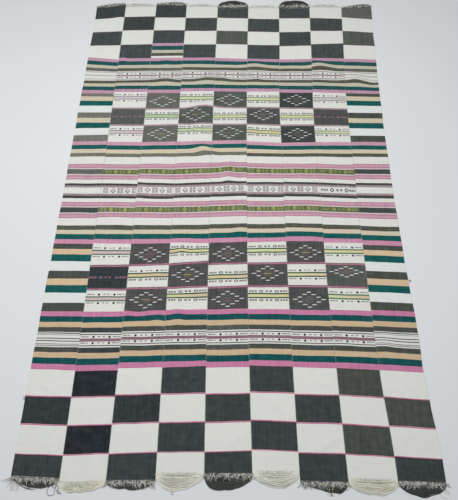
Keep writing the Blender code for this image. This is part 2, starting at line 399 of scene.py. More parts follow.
def on_strip(strip, y, share, top=True):
    """The point of a strip's upper face or underside on the pick that is at y at the strip's middle."""
    pick = pick_y(strip, y, share)
    x = across_strip(strip, pick, share)
    if top:
        return x, pick, top_height(x, pick, min(share, 1 - share) * strip_width(strip, pick))
    return x, pick, lift(x, pick)


# The design in bands and checks
CHECK = 94                       # nominal height of a check in mm, before it is fitted between its lines

# Where a band takes another tone of its dye, lighter, darker, greyer or otherwise tinted: zones, strips (all,
# if none is given), dye and the tone it takes. A later row goes before an earlier one
DYE_TONES = (
    ("C D D2", "", "tan", "tan_pale"),
    ("A4 B B3", "", "tan", "tan_far"),
    ("F", "", "tan", "tan_near"),
    ("D D2", "", "pink", "pink_pale"),
    ("A4 B B3", "", "pink", "pink_far"),
    ("A4 B B3", "", "green", "green_far"),
    ("F", "", "green", "green_near"),
    ("D", "12345", "olive", "olive_pale"),
    ("B", "139", "olive", "ink_faded"),
    ("C E", "19", "white", "white_cool"),
    ("A1 A2 A4 G G4", "", "white", "white_worn"),
    ("C2 E E2 E3", "", "ink", "ink_soft"),
    ("F", "", "ink", "ink_brown"),
    ("E", "1", "ink", "ink_brown"),
    ("D D2", "19", "ink", "ink_far"),
    ("D", "1", "ink", "ink_faded"),
    ("A1 A2 A4", "", "ink", "ink_far"),
    ("A1", "13", "ink", "ink"),
    ("A2", "2", "ink", "ink"),
    ("A2", "59", "ink", "ink_grey"),
    ("A1", "9", "ink", "ink_faded"),
    ("C C2 C3", "245", "ink", "ink_grey"),
    ("C C3", "3", "ink", "ink_faded"),
    ("C", "1", "ink", "ink_streaked"),
    ("C", "9", "ink", "ink_brown"),
    ("G G4", "2", "ink", "ink_blue"),
    ("E2", "2", "ink", "ink_cold"),
    ("G", "13", "ink", "ink_cold"),
    ("E E2 F G", "9", "ink", "ink_brown"),
    ("G G4", "8", "ink", "ink_brown"),
    ("E2", "8", "ink", "ink_grey"),
    ("F", "2", "ink", "ink"),
    ("F", "5", "ink", "ink_grey"),
)


def bands(text):
    """The bands in a line of words: dye, height in mm, and the figure brocaded on it if there is one."""
    rows = (band.split() for band in text.split(","))
    return [(dye, float(height), *figure) for dye, height, *figure in rows]


# Bands from the far side of their zone to the near side
UPPER_B = bands("pink 20, green 25, tan 20, olive 19.5")
LOWER_B = bands("olive 17, tan 19.5, green 23.5, pink 20")
MIDDLE_B = bands("pale 6, grey_line 4, white 2, white 11 dots, white 1, mauve_band 8, white 1.5, "
                 "white 12 dots, white 2, grey_line 5, pale 6")
MIDDLE_B_PLAIN = bands("pale 7, grey_line 3, white 13, pale 4, grey_line 3, pale 6, white 13, "
                       "grey_line 2, pale 11")
UPPER_F = bands("pink 20, green 23.5, tan 21, ink 19.5")
LOWER_F = bands("ink 20, tan 21, green 24, pink 21.5")
MIDDLE_F = bands("white 5, black_line 3.6, white 1.8, white 12 dots, mauve_dark 2.2, mauve_band 6.5, "
                 "mauve_dark 2.4, white 12 dots, white 2, black_line 3.6, white 5")
MIDDLE_F_PLAIN = bands("white 3, black_line 3.6, white 3.6, grey_line 2.6, white 11, black_line 3.6, "
                       "white 6.5, black_line 3.6, white 9, black_line 2.4, white 3, grey_line 4, white 4")
CHECK_BORDER = bands("mauve_dark 3.2, mauve_band 1, mauve 4, mauve_dark 3")
SOFT_BORDER = bands("mauve_grey 4, mauve 1.5, mauve_grey 3.5")
BORDER_BANDS_C = bands("ink 19, tan 27, green 31, white 43, ink 33.5, tan 28.5, green 33, white 42, ink 36")
BORDER_BANDS_E = bands("ink 24, tan 25, green 31, white 41.5, ink 34, tan 28, green 32, white 42, ink 35")
STRAY_BANDS = bands("pink 18, green 29, tan 21, olive 21.5, white 14")
SMALL_GROUP = bands("mauve 4, pink 11.5, mauve 4, pink 4.5, pale 3.8")
PINK_DASHES = bands("ink 40, ink 14 pink_dashes, ink 40")

# Centre stripes of the white checks: zone and strip, the dyes at the stripe's left and right, and where it
# lies in its check, as a share of the height from the far side
STRIPES = {
    ("C", 2): ("lilac", "lilac", 0.37),
    ("C", 4): ("lime", "lime", 0.42),
    ("C", 6): ("lime", "yellow", 0.50),
    ("C", 8): ("lilac", "lilac", 0.42),
    ("C2", 3): ("sage", "sage", 0.44),
    ("C2", 5): ("yellow", "yellow", 0.53),
    ("C2", 7): ("yellow", "yellow", 0.50),
    ("C3", 2): ("lilac", "rose", 0.38),
    ("C3", 4): ("sage", "yellow", 0.33),
    ("C3", 6): ("mustard", "mustard", 0.40),
    ("C3", 8): ("sage", "yellow", 0.39),
    ("E", 2): ("rose", "rose", 0.42),
    ("E", 4): ("mustard", "yellow", 0.42),
    ("E", 6): ("lime", "yellow", 0.42),
    ("E", 8): ("yellow", "mustard", 0.43),
    ("E2", 3): ("mustard", "peach", 0.45),
    ("E2", 5): ("mustard", "peach", 0.57),
    ("E2", 7): ("yellow", "peach", 0.50),
    ("E3", 2): ("rose", "rose", 0.40),
    ("E3", 4): ("yellow", "peach", 0.35),
    ("E3", 6): ("yellow", "mustard", 0.385),
    ("E3", 8): ("lime", "peach", 0.40),
}
DIAMONDS = {                     # where the diamond lies in a dark check, in the same way
    ("C", 3): 0.54, ("C", 5): 0.54, ("C", 7): 0.50,
    ("C2", 4): 0.44, ("C2", 6): 0.41,
    ("C3", 3): 0.50, ("C3", 5): 0.49, ("C3", 7): 0.51,
    ("E", 3): 0.57, ("E", 5): 0.58, ("E", 7): 0.55,
    ("E2", 4): 0.47, ("E2", 6): 0.44, ("E2", 8): 0.32,
    ("E3", 3): 0.50, ("E3", 5): 0.52, ("E3", 7): 0.54,
}
SMALL_DIAMOND = ("E2", 8)
DOTTED_STRIPS = (2, 8)           # strips with dots in place of eyelets
DOTTED_CHECKS = (("E2", 7),)     # and checks with them
MIXED_CHECKS = (("E2", 3),)      # checks with dots above their stripe and eyelets below it
FIGURE_HEIGHT = 10.5
EDGE_HEIGHT = 5.6
STRIPE_HEIGHT = 11.6
FIGURE_GAP = 2.4                 # white between the figures and the stripe's edge


def white_check(zone, number):
    left, right, share = STRIPES[zone, number]
    dotted = number in DOTTED_STRIPS or (zone, number) in DOTTED_CHECKS
    lower = "dot_dashes" if dotted else "eyelet_dashes"
    upper = "dot_dashes" if (zone, number) in MIXED_CHECKS else lower
    if zone[0] == "C":
        edge = "grey_line" if number in DOTTED_STRIPS else "sage_line"
    else:
        edge = "leaf_line" if number in DOTTED_STRIPS else "green_line"
    above = share * CHECK - STRIPE_HEIGHT / 2 - EDGE_HEIGHT - FIGURE_GAP - FIGURE_HEIGHT
    below = CHECK - above - 2 * (FIGURE_HEIGHT + FIGURE_GAP + EDGE_HEIGHT) - STRIPE_HEIGHT
    return [("white", above), ("white", FIGURE_HEIGHT, upper), ("white", FIGURE_GAP), (edge, EDGE_HEIGHT),
            ((left, right), STRIPE_HEIGHT),
            (edge, EDGE_HEIGHT), ("white", FIGURE_GAP), ("white", FIGURE_HEIGHT, lower), ("white", below)]


def dark_check(zone, number):
    if (zone, number) not in DIAMONDS:
        return PINK_DASHES
    figure, height = ("small_diamond", 40) if (zone, number) == SMALL_DIAMOND else ("diamond", 66)
    above = max(0.5, DIAMONDS[zone, number] * CHECK - height / 2)
    return [("ink", above), ("ink", height, figure), ("ink", max(0.5, CHECK - height - above))]


def figured_row(zone, number):
    """One row of brocaded checks, with the border above it."""
    check = white_check if (zone, number) in STRIPES else dark_check
    if zone in ("C", "E"):
        return check(zone, number)
    return [*(SOFT_BORDER if zone[0] == "C" else CHECK_BORDER), *check(zone, number)]


def centre_bands(number):
    """Zone D, the widest group of bands, as its far and its near half."""
    plain = number - 1 in PLAIN_STRIPS
    green = "ink" if plain else "moss"
    bright = () if plain else ("small_green",) if number == 8 else ("green_figures",)
    grey = () if plain else ("small_grey",) if number == 8 else ("grey_figures",)
    group = [*SMALL_GROUP, (green, 26, *bright), *SMALL_GROUP[::-1]]
    upper = [*bands("pink 20, green 23, tan 21.5, olive 19, white 38.5"), *group, ("white", 19.5)]
    lower = [*bands("black_line 10, shadow_mauve 2, mauve_grey 10"), ("white", 31, *grey),
             *bands("mauve_grey 10, shadow_mauve 2.5, black_line 12, white 19"), *group,
             *bands("white 36, olive 22, tan 20, green 24.5, pink_deep 21")]
    return upper, lower


def zone_bands(zone, number):
    plain = number - 1 in PLAIN_STRIPS
    first, second = ("ink", "white") if number % 2 == 1 else ("white", "ink")
    faint = ("faint_line", 2.2)
    rose = bands("rose_pale 2, rose_line 2.6")
    if zone == "A1":
        return [(first, CHECK)]
    if zone == "A2":
        return [faint, (second, CHECK), faint, (first, CHECK)]
    if zone == "A4":
        return [faint, *STRAY_BANDS] if number == 3 else [faint, (second, CHECK)]
    if zone == "B":
        return [*UPPER_B, *(MIDDLE_B_PLAIN if plain else MIDDLE_B)]
    if zone == "B3":
        return LOWER_B
    if zone[0] == "D":
        return centre_bands(number)[zone == "D2"]
    if zone == "F":
        return [*UPPER_F, *(MIDDLE_F_PLAIN if plain else MIDDLE_F), *LOWER_F]
    if zone == "G":
        return [(second, CHECK), *rose, (first, CHECK), *rose, (second, CHECK)]
    if zone == "G4":
        return [*rose, (first, CHECK)]
    if plain:
        return BORDER_BANDS_C if zone == "C" else BORDER_BANDS_E
    return figured_row(zone, number)


def dye_tone(zone, number, dye):
    for zones, strips, usual, tone in reversed(DYE_TONES):
        if dye == usual and zone in zones.split() and (str(number) in strips or not strips):
            return tone
    return dye


def strip_bands(strip):
    """All the strip's bands: y at the far and the near side, dye at the left and the right, and figure."""
    found = []
    lines = ANCHORS[strip]
    for (zone, top), (_, bottom) in zip(lines, lines[1:]):
        rows = zone_bands(zone, strip + 1)
        scale = (top - bottom) / sum(row[1] for row in rows)
        y = top
        for dye, height, *figure in rows:
            left, right = dye if isinstance(dye, tuple) else (dye_tone(zone, strip + 1, dye),) * 2
            low = y - height * scale
            found.append((y, low, left, right, figure[0] if figure else None))
            y = low
    return found


BANDS = [strip_bands(strip) for strip in range(STRIP_COUNT)]

# Meshes

pieces = bpy.data.collections.new("cloth_pieces")
bpy.context.scene.collection.children.link(pieces)


def new_piece(name, mesh, made_of, slot, *nodes):
    """An object of the mesh that rides on the cloth's one body and stands for the named CAD nodes."""
    mesh.materials.append(made_of)
    piece = bpy.data.objects.new(name, mesh)
    pieces.objects.link(piece)
    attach(piece, "root")
    if nodes:
        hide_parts(*nodes)
    return piece


def paint(mesh, colours):
    """Store one linear colour for each corner."""
    layer = mesh.color_attributes.new("Dye", "FLOAT_COLOR", "CORNER")
    layer.data.foreach_set("color", [value for colour in colours for value in (*colour, 1.0)])


def map_corners(mesh, name, places):
    layer = mesh.uv_layers.new(name=name)
    layer.uv.foreach_set("vector", [value for place in places for value in place])


# Columns of faces across a strip, as distances in from the nearer selvedge in mm and then as shares between
EDGE_COLUMNS = (0, 1.0, 2.2, 4.5)
INNER_COLUMNS = 20
BOTTOM_COLUMNS = 6
ROW_HEIGHT = 6.6 * MM
PICK_SHADE = {True: 0.009, False: 0.035}   # how far a few pale or dyed picks differ in shade from the next
PALE_FROM = 0.6                  # linear light in its darkest channel that makes a dye a pale one


def column_shares(strip):
    edge = [inset * MM / strip_width(strip) for inset in EDGE_COLUMNS]
    first, last = edge[-1], 1 - edge[-1]
    inner = [between(first, last, index / INNER_COLUMNS) for index in range(1, INNER_COLUMNS)]
    return edge + inner + [1 - share for share in edge[::-1]]


def rows_of(strip, rng):
    """y of every row line, and the left and right colour of every row between them."""
    ys = [BANDS[strip][0][0]]
    dyes = []
    for top, bottom, left, right, _ in BANDS[strip]:
        steps = max(1, math.ceil((top - bottom) / ROW_HEIGHT - 0.2))
        for step in range(1, steps + 1):
            ys.append(between(top, bottom, step / steps))
            most = PICK_SHADE[min(LINEAR[left]) > PALE_FROM]
            shade = 1 + rng.uniform(-most, most)
            dyes.append([tuple(value * shade for value in LINEAR[dye]) for dye in (left, right)])
    return ys, dyes


# The bake map lays the strip's upper face in columns side by side, and its underside and walls beside them
MAP_COLUMNS = 3
MAP_TOP_WIDE = 0.62
MAP_MARGIN = 0.004
MAP_UNDERSIDE = (MAP_TOP_WIDE + MAP_MARGIN, 0.96)
MAP_WALLS = (0.965, 0.995)
WALLS = (                        # column, places across the walls' stretch of the map, and row lines in order
    (0, 0.0, 0.3, (0, 1)),
    (-1, 0.6, 0.9, (1, 0)),
)
STRIP_SEED = 100
WEAVE_APART = 0.37               # how far the weave of one strip is shifted from the next one's, in metres
STRIP_SHARP_FROM = 50            # degrees


def bake_place(side, share, along):
    """Place on the bake map of a point of the "top", "bottom" or "wall", at a share of width and length."""
    if side == "top":
        column = min(MAP_COLUMNS - 1, int(along * MAP_COLUMNS))
        wide = MAP_TOP_WIDE / MAP_COLUMNS
        x = column * wide + between(MAP_MARGIN, wide - MAP_MARGIN, share)
        along = along * MAP_COLUMNS - column
    else:
        x = between(*(MAP_UNDERSIDE if side == "bottom" else MAP_WALLS), share)
    return x, between(MAP_MARGIN, 1 - MAP_MARGIN, along)


def build_strip(strip, made_of):
    """One woven strip as a thin closed sheet: fine rows and columns on top, coarser columns below."""
    shares = column_shares(strip)
    below = [index / BOTTOM_COLUMNS for index in range(BOTTOM_COLUMNS + 1)]
    ys, dyes = rows_of(strip, random.Random(STRIP_SEED + strip))
    # Rows on the bake map's column breaks, so that no face lies over two columns
    length = ys[0] - ys[-1]
    alongs = [(ys[0] - y) / length for y in ys]
    breaks = [min(range(len(ys)), key=lambda row: abs(alongs[row] - part / MAP_COLUMNS))
              for part in range(1, MAP_COLUMNS)]
    stretch = [0.0] + [alongs[row] for row in breaks] + [1.0]
    points = [on_strip(strip, y, share) for y in ys for share in shares]
    top, low = (0, shares), (len(points), below)
    points += [on_strip(strip, y, share, False) for y in ys for share in below]
    faces, colours, weave, baked = [], [], [], []

    def spot(level, line, column, place=None):
        """A grid point of the top or the underside: its number, share or place on a wall, and row line."""
        first, columns = level
        column %= len(columns)
        return first + line * len(columns) + column, columns[column] if place is None else place, line

    def add(corners, row, side):
        """Add a face whose corners are given anticlockwise from outside."""
        faces.append([point for point, _, _ in corners])
        left, right = dyes[min(row, len(dyes) - 1)]
        column = sum(row >= cut for cut in breaks)
        for point, share, line in corners:
            colours.append(blend(left, right, share))
            weave.append((points[point][0] + strip * WEAVE_APART, points[point][1]))
            along = alongs[line]
            if side == "top":
                part = (along - stretch[column]) / (stretch[column + 1] - stretch[column])
                along = (column + min(0.9999, part)) / MAP_COLUMNS
            baked.append(bake_place(side, share, along))

    for row in range(len(ys) - 1):
        for level, side, start, end in ((top, "top", row + 1, row), (low, "bottom", row, row + 1)):
            for column in range(len(level[1]) - 1):
                add([spot(level, start, column), spot(level, start, column + 1),
                     spot(level, end, column + 1), spot(level, end, column)], row, side)
        for column, low_place, top_place, (start, end) in WALLS:
            add([spot(low, row + start, column, low_place), spot(low, row + end, column, low_place),
                 spot(top, row + end, column, top_place), spot(top, row + start, column, top_place)],
                row, "wall")
    for line in (0, len(ys) - 1):
        upper = [spot(top, line, column) for column in range(len(shares))]
        lower = [spot(low, line, column) for column in range(len(below))]
        add(lower + upper[::-1] if line else upper + lower[::-1], line, "wall")
    name = f"strip_{strip + 1}"
    mesh = bpy.data.meshes.new(name)
    mesh.from_pydata(points, [], faces)
    paint(mesh, colours)
    map_corners(mesh, "Weave", weave)
    map_corners(mesh, "OFBake", baked)
    mesh.shade_smooth()
    mesh.set_sharp_from_angle(angle=math.radians(STRIP_SHARP_FROM))
    mesh.validate()
    piece = new_piece(f"woven_{name}", mesh, made_of, "woven_cotton", name)
    strip_width(strip)


CELL_LONG = (0.12, 0.88)         # the part of its cell of the bake map that a tube fills, along it
CELL_ROUND = (0.1, 0.9)          # and round it
CELL_TURNS = 5                   # the four sides of a tube, and half a side of margin before and after
CELL_CAPS = 0.1                  # how far past the tube's ends its caps lie


class Yarns:
    """The faces of many short tubes of yarn, gathered into one mesh. Each tube has a cell of the bake map."""

    def __init__(self):
        self.points = []
        self.tubes = []          # (first point, rings, dye at every ring, length)

    def add(self, path, widths, heights, dyes):
        first = len(self.points)
        last = len(path) - 1
        for index, point in enumerate(path):
            along = path[min(index + 1, last)] - path[max(index - 1, 0)]
            along.normalize()
            side = Vector((along.y, -along.x, 0))
            side.normalize()
            up = side.cross(along)
            side *= widths[index] / 2
            up *= heights[index] / 2
            self.points += [point + side, point + up, point - side, point - up]
        length = sum((b - a).length for a, b in zip(path, path[1:]))
        self.tubes.append((first, len(path), dyes, length))

    def mesh(self, name):
        faces, colours, along, cells = [], [], [], []
        grid = math.ceil(math.sqrt(len(self.tubes)))
        for index, (first, rings, dyes, length) in enumerate(self.tubes):
            cell_y, cell_x = divmod(index, grid)

            def corner(ring, turn, nudge=0.0):
                share = ring / (rings - 1)
                colours.append(dyes[ring])
                along.append((share * length, turn / 4))
                x = between(*CELL_LONG, share) + (nudge if turn in (1, 2) else nudge / 4)
                y = between(*CELL_ROUND, (turn + 0.5) / CELL_TURNS)
                cells.append(((cell_x + x) / grid, (cell_y + y) / grid))

            for ring in range(rings - 1):
                a, b = first + ring * 4, first + ring * 4 + 4
                for side in range(4):
                    after = (side + 1) % 4
                    faces.append((a + side, b + side, b + after, a + after))
                    for at, turn in ((ring, side), (ring + 1, side), (ring + 1, side + 1), (ring, side + 1)):
                        corner(at, turn)
            end = first + rings * 4 - 4
            faces.append((first, first + 1, first + 2, first + 3))
            faces.append((end + 3, end + 2, end + 1, end))
            for ring, nudge in ((0, -CELL_CAPS), (rings - 1, CELL_CAPS)):
                for turn in range(4):
                    corner(ring, turn, nudge)
        mesh = bpy.data.meshes.new(name)
        mesh.from_pydata(self.points, [], faces)
        paint(mesh, colours)
        map_corners(mesh, "Weave", along)
        map_corners(mesh, "OFBake", cells)
        mesh.shade_smooth()
        return mesh


# Brocade

def striped(first, second, rows):
    """A chart whose rows take turns."""
    return [(first, second)[row % 2] for row in range(rows)]


YARN_OF = {"k": "yarn_black", "w": "yarn_white", "l": "yarn_lime", "y": "yarn_yellow", "g": "yarn_grey",
           "m": "yarn_mauve", "p": "yarn_pink", "b": "yarn_brown", "o": "yarn_ochre", "v": "yarn_lilac",
           "r": "yarn_rose", "e": "yarn_olive"}

# Small repeats, charted one by one. A letter is one step of a float, and a dot is bare cloth
CHARTS = {
    "eyelet": """
        ..kkkk..
        kkk..kkk
        kk....kk
        kkk..kkk
        ..kkkk..""".split(),
    "dot": """
        .kkk.
        kkkkk
        kkkkk
        .kkk.""".split(),
    "long_dashes": """
        kkkkk.kkkk.kkkk
        k.k.k.k..k.k.k.
        kkkk.kkkkk.kkkk""".split(),
    "short_dashes": striped("kkkkk", "k.k.k", 3),
    "fine_dashes": ["kkkkkkkkk.kkkkk", ".g.g.g.g.g.g.g."],
    "fine_pair": ["kkkkk", ".g.g."],
    "long_pink": striped("rrrrrrrrrrrrrrr", "r.r.r.r.r.r.r.r", 4),
    "short_pink": striped("rrrrr", "r.r.r", 3),
    "pink_eyelet": """
        ...pp...
        .pp..pp.
        pp....pp
        .pp..pp.
        ...pp...""".split(),
    "tall_dashes": """
        kkkkk.kkkk.kkkk
        k.k.k.k..k.k.k.
        kkkk.kkkkk.kkkk
        k..k.k.k.k..k.k
        kkkkk.kkkk.kkkk""".split(),
    "tall_pair": striped("kkkkk", "k.k.k", 5),
    "grey_block": [*striped("vvvvv.vvvvv", "v.v.v.v.v.v", 5), "...........",
                   *striped("vvvvv.vvvvv", "v.v.v.v.v.v", 6)],
    "grey_pair": [*striped("vvvvvv", "v.vv.v", 5), "......", *striped("vvvvvv", "v.vv.v", 6)],
    "framed_diamond": """
        ......v......
        .....vvv.....
        ....vvwvv....
        ...vvwwwvv...
        ..vvwwwwwvv..
        .vvwwwwwwwvv.
        kkwwwwbwwwwkk
        .kkwwwwwwwkk.
        ..kkwwwwwkk..
        ...kkwwwkk...
        ....kkwkk....
        .....kkk.....
        ......k......""".split(),
    "dark_eyelet": """
        ...kkk...
        ..kkkkk..
        .kkk.kkk.
        kkk...kkk
        kk.....kk
        kkk...kkk
        .kkk.kkk.
        ..kkkkk..
        ...kkk...""".split(),
    "lime_block": striped("llllll.llllll", "l.l.l...l.l.l", 9),
    "lime_pair": striped("lllll", "l...l", 9),
    "yellow_diamond": """
        ...yyy...
        ..yyyyy..
        .yy...yy.
        yy..y..yy
        yy.yyy.yy
        yy..y..yy
        .yy...yy.
        ..yyyyy..
        ...yyy...""".split(),
    "lime_dashes": """
        llllllllllllll
        l.l.l.l.l.l.l.
        llllllllllllll
        .l.l.l.l.l.l.l
        llllllllllllll""".split(),
    "lime_short": """
        lllll
        l.l.l
        lllll
        .l.l.
        lllll""".split(),
    "yellow_eyelet": """
        ...yyy...
        ..yy.yy..
        .yy...yy.
        yy..l..yy
        .yy...yy.
        ..yy.yy..
        ...yyy...""".split(),
}

# Figures laid across a strip: their long, round and short charts, and where the middles of six of them lie,
# as shares of the strip's width
FIGURES = {
    "eyelet_dashes": ("long_dashes", "eyelet", "short_dashes", (0.125, 0.325, 0.465, 0.56, 0.71, 0.88)),
    "dot_dashes": ("fine_dashes", "dot", "fine_pair", (0.125, 0.33, 0.465, 0.56, 0.72, 0.88)),
    "dots": ("fine_dashes", "dot", "fine_pair", (0.12, 0.33, 0.465, 0.575, 0.72, 0.885)),
    "pink_dashes": ("long_pink", "pink_eyelet", "short_pink", (0.12, 0.32, 0.44, 0.545, 0.72, 0.88)),
    "grey_figures": ("grey_block", "framed_diamond", "grey_pair", (0.11, 0.315, 0.47, 0.56, 0.715, 0.91)),
    "small_grey": ("tall_dashes", "dark_eyelet", "tall_pair", (0.12, 0.33, 0.48, 0.58, 0.73, 0.90)),
    "green_figures": ("lime_block", "yellow_diamond", "lime_pair", (0.12, 0.325, 0.46, 0.56, 0.71, 0.89)),
    "small_green": ("lime_dashes", "yellow_eyelet", "lime_short", (0.12, 0.34, 0.48, 0.59, 0.75, 0.91)),
}
FIGURE_ORDER = (0, 1, 2, 2, 1, 0)       # long, round, short, short, round, long

# How far the figures of zone D lie to the side on some strips, as a share of the strip's width
ASIDE = {2: 0.03, 3: -0.025, 5: -0.07, 7: -0.055}

# Floats of the diamonds on dark checks: steps to the side and up from the middle, length, and yarn, in mm
DIAMOND = (
    *((side * aside, above, 17 if above else 18, "w")
      for aside, above in ((0, 31), (18, 21), (36, 10), (55, 0), (36, -10), (18, -21), (0, -31))
      for side in ((-1, 1) if aside else (1,))),
    (0, 13, 15, "h"), (0, 6.5, 34, "h"), (0, -6.5, 36, "h"), (0, -13, 16, "h"),
)
HEARTS = {                       # yarns of the lines inside a diamond, where they aren't olive and ochre
    ("E", 3): ("m", "m"),
    ("E", 5): ("b", "b"),
    ("E3", 5): ("g", "m"),
    ("E3", 7): ("g", "g"),
    ("E2", 8): ("b", "m"),
    ("C", 3): ("e", "e"),
    ("C", 5): ("e", "b"),
    ("C", 7): ("e", "e"),
    ("C2", 6): ("e", "b"),
    ("C3", 5): ("e", "e"),
    ("C3", 7): ("b", "e"),
}
DIAMOND_LINE = (60, 30)          # lengths of the thin line through the middle, and of its bright part
SMALL_DIAMOND_SIZE = (1.08, 0.70)
DIAMOND_PICK = 1.0 * MM          # half the height between the two floats of a dash
DIAMOND_SLANT = 0.7              # half the shift between them, in mm

CELL = 2.0 * MM                  # one step of a chart
PICK = 2.2 * MM                  # from one row of floats to the next
FLOAT_WIDTH = 2.2 * MM
FLOAT_HEIGHT = 1.0 * MM
FLOAT_RING = 7 * MM              # longest stretch of a float between two rings
FLOAT_GAP = 0.3 * MM
JITTER = 0.35 * MM
BROCADE_SEED = 300
SELVEDGE = 0.02                  # share of a strip's width at either side that stays free of floats


FLOAT_DIP = 0.9 * MM             # length of a float's end that dips into the cloth
FLOAT_LEVELS = (0.28 * MM, -0.15 * MM)   # of a float's middle and ends, above the cloth's upper face
FLOAT_END = (0.55, 0.5)          # width and height of a float's ends, as shares of its own


def lay_float(yarns, strip, y, left, right, yarn, rng):
    """One float of brocade between two shares of the strip's width. Both its ends dip into the cloth."""
    width = pitch(strip, y)
    left += rng.uniform(-JITTER, JITTER) / width
    right += rng.uniform(-JITTER, JITTER) / width
    y += rng.uniform(-JITTER, JITTER) * 0.6
    length = (right - left) * width
    steps = max(1, math.ceil(length / FLOAT_RING))
    dip = min(0.3, FLOAT_DIP / length)
    shares = [0, dip] + [between(dip, 1 - dip, step / steps) for step in range(1, steps)] + [1 - dip, 1]
    path, widths, heights = [], [], []
    for share in shares:
        ended = share in (0, 1)
        point = Vector(on_strip(strip, y, between(left, right, share)))
        point.z += FLOAT_LEVELS[ended]
        path.append(point)
        widths.append(FLOAT_WIDTH * (FLOAT_END[0] if ended else 1))
        heights.append(FLOAT_HEIGHT * (FLOAT_END[1] if ended else 1))
    yarns.add(path, widths, heights, [shaded(YARN_OF[yarn], 0.92, 1.05, rng)] * len(path))


def runs(row):
    """(first, past last, letter) of each run of one letter in a chart's row."""
    start = 0
    for index in range(1, len(row) + 1):
        if index == len(row) or row[index] != row[start]:
            if row[start] != ".":
                yield start, index, row[start]
            start = index


def lay_chart(yarns, strip, y, share, chart, rng):
    width = pitch(strip, y)
    for number, row in enumerate(chart):
        row_y = y + ((len(chart) - 1) / 2 - number) * PICK
        for start, end, yarn in runs(row):
            left = max(SELVEDGE, share + (start - len(row) / 2) * CELL / width)
            right = min(1 - SELVEDGE, share + (end - len(row) / 2) * CELL / width)
            if right - left > CELL / 2 / width:
                lay_float(yarns, strip, row_y, left, right - FLOAT_GAP / width, yarn, rng)


def lay_diamond(yarns, strip, y, rng, size, hearts):
    width = pitch(strip, y)
    centre = 0.5 + rng.uniform(-0.012, 0.012)
    short, bright_yarn = hearts
    for aside, above, length, yarn in DIAMOND:
        for pick in ((-1, 1) if yarn == "w" else (0,)):
            half = length * MM / width / 2
            middle = centre + (aside + DIAMOND_SLANT * pick) * MM * size[0] / width
            pick_at = y + above * MM * size[1] + pick * DIAMOND_PICK
            dyed = short if yarn == "h" else yarn
            lay_float(yarns, strip, pick_at, middle - half, middle + half, dyed, rng)
    long, bright = (length * MM / width / 2 for length in DIAMOND_LINE)
    for start, end, yarn in ((-long, -bright, "m"), (-bright, bright, bright_yarn), (bright, long, "m")):
        lay_float(yarns, strip, y, centre + start, centre + end, yarn, rng)


def build_brocade(strip, made_of):
    """All the figures that lie on one strip."""
    rng = random.Random(BROCADE_SEED + strip)
    yarns = Yarns()
    for top, bottom, _, _, figure in BANDS[strip]:
        y = (top + bottom) / 2
        if figure in ("diamond", "small_diamond"):
            zone = min((line_y, zone) for zone, line_y in ANCHORS[strip] if line_y > top - 1 * MM)[1]
            size = (1.0, 1.0) if figure == "diamond" else SMALL_DIAMOND_SIZE
            lay_diamond(yarns, strip, y, rng, size, HEARTS.get((zone, strip + 1), ("e", "o")))
        elif figure:
            aside = ASIDE.get(strip + 1, 0) if figure in ("grey_figures", "green_figures") else 0
            *charts, shares = FIGURES[figure]
            for kind, share in zip(FIGURE_ORDER, shares):
                lay_chart(yarns, strip, y, share + aside, CHARTS[charts[kind]], rng)
    name = f"brocade_{strip + 1}"
    new_piece(name, yarns.mesh(name), made_of, "woven_cotton")


# Sewing

STITCH_STEP = 6.5 * MM
STITCH_REACH = 2.6 * MM          # how far a stitch reaches into each strip
STITCH_SLANT = 1.6 * MM
THREAD = 0.8 * MM
STITCH_SEED = 900
STITCH = (                       # share of its reach, rise in mm, and width and height in threads
    (-1, -0.1, 0.6, 0.5),
    (-0.6, 0.42, 1, 0.8),
    (0, 0.3, 1, 0.8),
    (0.6, 0.42, 1, 0.8),
    (1, -0.1, 0.6, 0.5),
)


def build_seam(line, yarns, rng):
    """Whip stitches over the joint between two strips."""
    far = min(ANCHORS[line - 1][0][1], ANCHORS[line][0][1])
    near = max(ANCHORS[line - 1][-1][1], ANCHORS[line][-1][1])
    y = near + STITCH_STEP
    while y < far - STITCH_STEP:
        reach = STITCH_REACH * rng.uniform(0.8, 1.15)
        slant = STITCH_SLANT * rng.uniform(0.4, 1.3)
        path = []
        for share, rise, _, _ in STITCH:
            at_x = seam_x(line, y) + share * reach
            at_y = y + share * slant
            path.append(Vector((at_x, at_y, top_height(at_x, at_y, abs(share * reach)) + rise * MM)))
        dye = shaded("thread", 0.82, 1.0, rng)
        widths = [THREAD * row[2] for row in STITCH]
        heights = [THREAD * row[3] for row in STITCH]
        yarns.add(path, widths, heights, [dye] * len(path))
        y += STITCH_STEP * rng.uniform(0.85, 1.15)


# Loose yarn

# How far the longest loop hangs past each strip's woven edge in mm, where across the strip it hangs lowest,
# and how full it hangs at its roots: 2 is the arc of an ellipse
FAR_LOOPS = ((20, 0.50, 2.0), (26, 0.45, 2.0), (26, 0.80, 2.0), (20, 0.45, 2.0), (61, 0.50, 2.2),
             (24, 0.55, 2.0), (63, 0.50, 2.2), (24, 0.50, 2.0), (26, 0.78, 1.6))
NEAR_LOOPS = ((36, 0.66, 1.4), (34, 0.30, 1.6), (30, 0.48, 1.8), (58, 0.36, 1.5), (56, 0.30, 1.8),
              (52, 0.55, 1.6), (38, 0.80, 1.2), (50, 0.62, 1.9), (48, 0.52, 1.6))
ROOT_HANG = 0.22                 # how far the loops' roots hang, as a share of their depth
LOOP_POINTS = 26
LOOP_STEP = 2.7 * MM             # from one slack turn of weft to the next
LOOP_ROOTS = (0.05, 0.012)       # the shortest and the longest loop's roots, as shares of the width
LOOP_HEIGHTS = (3.4, 2.0)        # and their heights above the floor, in mm
UNDER_HEIGHT = 1.1
LOOP_WAVE, LOOP_KINK = 5.0, 1.1  # how far the loops swing together, and each on its own, in mm
WAVES_ALONG = (5.5, 15)          # and the waves of both along a loop
YARN = 2.3 * MM                  # thickness of one slack weft yarn
